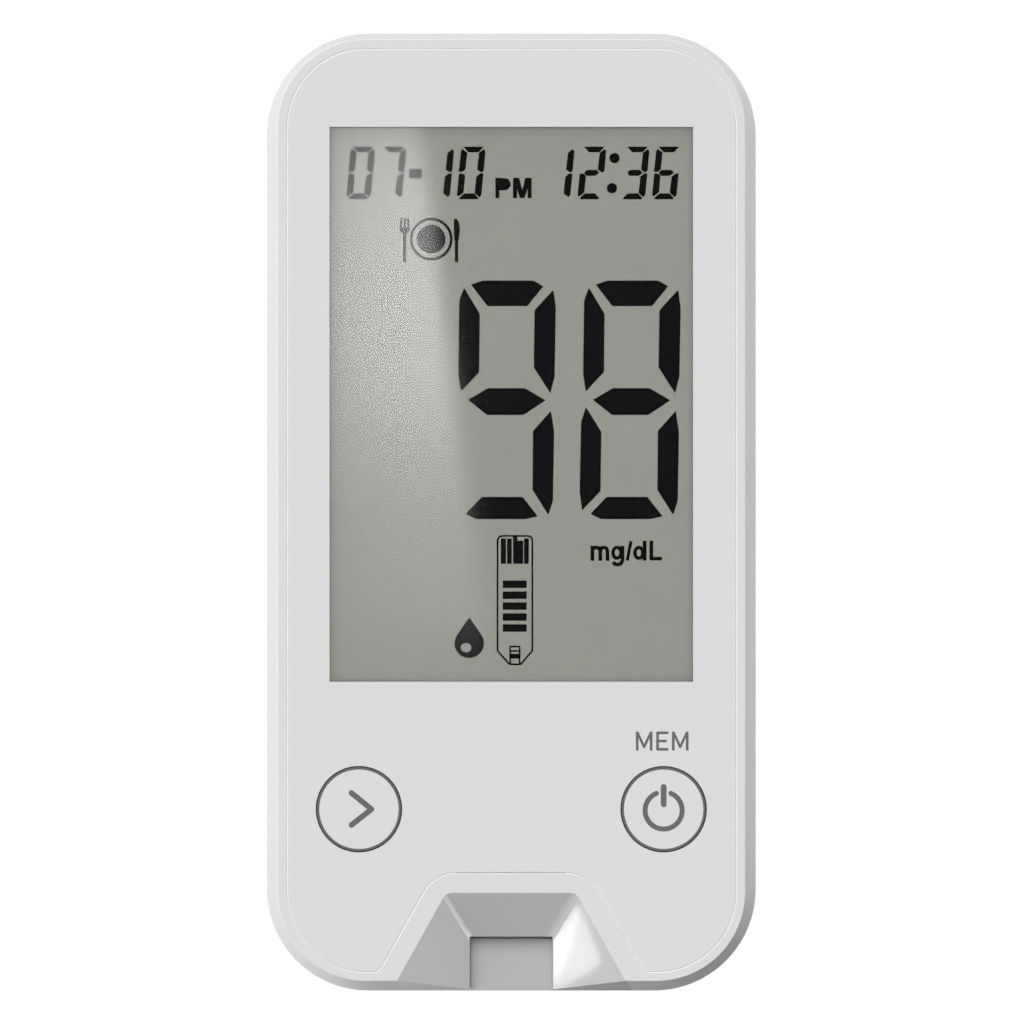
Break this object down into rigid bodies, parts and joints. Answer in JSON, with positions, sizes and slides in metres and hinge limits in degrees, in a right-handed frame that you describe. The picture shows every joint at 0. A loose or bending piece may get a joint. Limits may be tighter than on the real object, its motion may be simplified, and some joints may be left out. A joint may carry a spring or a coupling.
{
  "type": "blood glucose meter",
  "caption": "Handheld blood glucose meter: rounded two-shell case, large segment display, two press keys, funnel-shaped test strip port and a battery door on the back.",
  "frame": {"origin": "under the middle of the meter, on the flat back that it rests on", "axes": "+Z out of the display, +Y to the top of the display, +X to the right as the display is read"},
  "size_m": [0.051, 0.0998, 0.02],
  "materials": {
    "case_white": "satin moulded ABS, cool white",
    "faceplate_white": "smooth satin plate, cool white",
    "window_clear": "clear polished acrylic",
    "adhesive_tape": "thin adhesive frame",
    "key_white": "satin moulded caps with grey printed marks",
    "dome_steel": "thin spring steel",
    "gasket_foam": "fine closed-cell foam",
    "display_glass": "clear display glass",
    "reflector_grey": "grey-green reflective film",
    "frame_plastic": "moulded plastic",
    "connector_rubber": "striped conductive rubber",
    "board_green": "glass-epoxy laminate under solder mask",
    "chip_black": "moulded epoxy package",
    "can_metal": "nickel plated can",
    "passive_ceramic": "ceramic body with tinned ends",
    "buzzer_black": "moulded buzzer case",
    "guide_white": "satin moulded ABS",
    "connector_black": "moulded connector body",
    "contact_gold": "gold plated spring contacts",
    "cell_sleeve": "plain printed sleeve on a steel can",
    "contact_nickel": "nickel plated sheet",
    "spring_steel": "nickel plated spring wire",
    "screw_steel": "zinc plated steel"
  },
  "bodies": {
    "root": {"front_shell": "case_white", "back_shell": "case_white", "faceplate": "faceplate_white", "display_window": "window_clear", "window_tape": "adhesive_tape", "left_dome": "dome_steel", "right_dome": "dome_steel", "display_gasket": "gasket_foam", "display_front_glass": "display_glass", "display_rear_glass": "display_glass", "display_reflector": "reflector_grey", "display_frame": "frame_plastic", "zebra_strip": "connector_rubber", "main_board": "board_green", "processor": "chip_black", "memory_chip": "chip_black", "crystal": "can_metal", "board_passives": "passive_ceramic", "buzzer": "buzzer_black", "strip_guide": "guide_white", "strip_connector": "connector_black", "strip_contacts": "contact_gold", "left_cell": "cell_sleeve", "right_cell": "cell_sleeve", "positive_contact": "contact_nickel", "negative_contact": "contact_nickel", "bridge_contact": "contact_nickel", "battery_springs": "spring_steel", "case_screws": "screw_steel", "board_screws": "screw_steel"},
    "left_key": {"left_key": "key_white"},
    "right_key": {"right_key": "key_white"},
    "battery_door": {"battery_door": "case_white"}
  },
  "joints": [
    {"name": "left_key_press", "type": "slide", "parent": "root", "child": "left_key", "axis": [0, 0, -1], "range_m": [0, 0.0004], "stiffness_N_per_m": 1500, "deforming": ["left_dome"]},
    {"name": "right_key_press", "type": "slide", "parent": "root", "child": "right_key", "axis": [0, 0, -1], "range_m": [0, 0.0004], "stiffness_N_per_m": 1500, "deforming": ["right_dome"]},
    {"name": "battery_door_tilt", "type": "hinge", "parent": "root", "child": "battery_door", "pos_m": [0, -0.0163, 0], "axis": [-1, 0, 0], "range_deg": [0, 70]}
  ]
}
